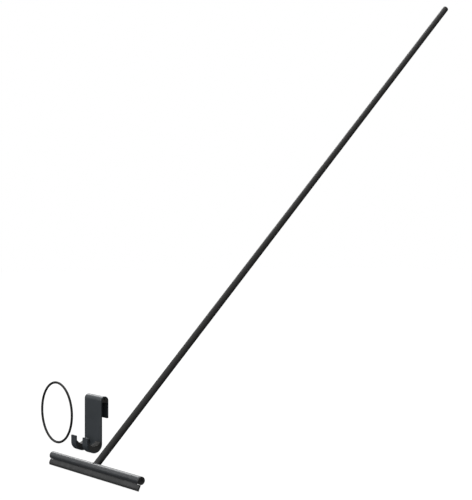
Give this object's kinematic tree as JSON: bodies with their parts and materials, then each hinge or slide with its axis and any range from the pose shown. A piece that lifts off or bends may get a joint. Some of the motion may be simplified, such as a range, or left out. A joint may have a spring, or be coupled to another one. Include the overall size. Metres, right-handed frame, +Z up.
{
  "type": "window squeegee",
  "caption": "Long-pole squeegee with a round bar head and a bevelled rubber blade, leaning back, with a forked over-glass hook and a loose hanging ring.",
  "frame": {"origin": "centre of the pole's lower end, where the pole seats on the head's neck", "axes": "+X along the head bar to the user's right, +Y back, the way the pole leans, +Z up. The pole rises at 45 degrees between +Y and +Z, and the blade's edge is the lowest line."},
  "size_m": [0.5132, 0.8797, 0.8885],
  "materials": {
    "powder_coat": "satin black powder coat",
    "hook_coat": "satin black powder coat, slightly blue",
    "cap_plastic": "black moulded plastic, fine satin",
    "carrier_plastic": "extruded black plastic",
    "blade_rubber": "charcoal rubber, dull",
    "pad_rubber": "soft black elastomer, dull",
    "ring_rubber": "black rubber cord",
    "washer_plastic": "black plastic washer",
    "insert_metal": "turned aluminium",
    "stud_steel": "bright steel, threaded",
    "screw_steel": "blackened steel"
  },
  "bodies": {
    "pole": {"pole_tube": "powder_coat", "pole_insert": "insert_metal", "pole_stud": "stud_steel", "pole_cap": "cap_plastic", "cap_grip_ring": "ring_rubber"},
    "washer": {"neck_washer": "washer_plastic"},
    "head": {"neck_socket": "powder_coat", "head_bar": "powder_coat", "blade_carrier": "carrier_plastic"},
    "left_cap": {"end_cap_left": "cap_plastic", "cap_screw_left": "screw_steel"},
    "right_cap": {"end_cap_right": "cap_plastic", "cap_screw_right": "screw_steel"},
    "blade": {"blade_root": "blade_rubber"},
    "lip": {"blade_lip": "blade_rubber"},
    "hook": {"hook_strap": "hook_coat", "crown_pad": "pad_rubber", "saddle_left": "pad_rubber", "saddle_right": "pad_rubber"},
    "ring": {"hanging_ring": "ring_rubber"}
  },
  "joints": [
    {"name": "washer_turn", "type": "hinge", "parent": "pole", "child": "washer", "pos_m": [0, 0, 0], "axis": [0, -0.7071, -0.7071], "range_deg": [0, 2880]},
    {"name": "head_advance", "type": "slide", "parent": "washer", "child": "head", "axis": [0, -0.7071, -0.7071], "range_m": [0, 0.0101]},
    {"name": "left_cap_pull", "type": "slide", "parent": "head", "child": "left_cap", "axis": [-1, 0, 0], "range_m": [0, 0.018]},
    {"name": "blade_slide", "type": "slide", "parent": "head", "child": "blade", "axis": [1, 0, 0], "range_m": [0, 0.275]},
    {"name": "right_cap_pull", "type": "slide", "parent": "head", "child": "right_cap", "axis": [1, 0, 0], "range_m": [0, 0.276]},
    {"name": "lip_flex", "type": "hinge", "parent": "blade", "child": "lip", "pos_m": [0, -0.0153, -0.01922], "axis": [1, 0, 0], "range_deg": [-25, 25], "stiffness_Nm_per_rad": 0.05},
    {"name": "hook_lift", "type": "slide", "parent": "pole", "child": "hook", "axis": [0, 0, 1], "range_m": [0, 0.12]},
    {"name": "ring_lift", "type": "slide", "parent": "pole", "child": "ring", "axis": [0, 0, 1], "range_m": [0, 0.13]}
  ],
  "couplings": [
    {"joint": "head_advance", "follows": "washer_turn", "m_per_rad": 0.00019894},
    {"joint": "right_cap_pull", "follows": "blade_slide", "ratio": 1}
  ]
}
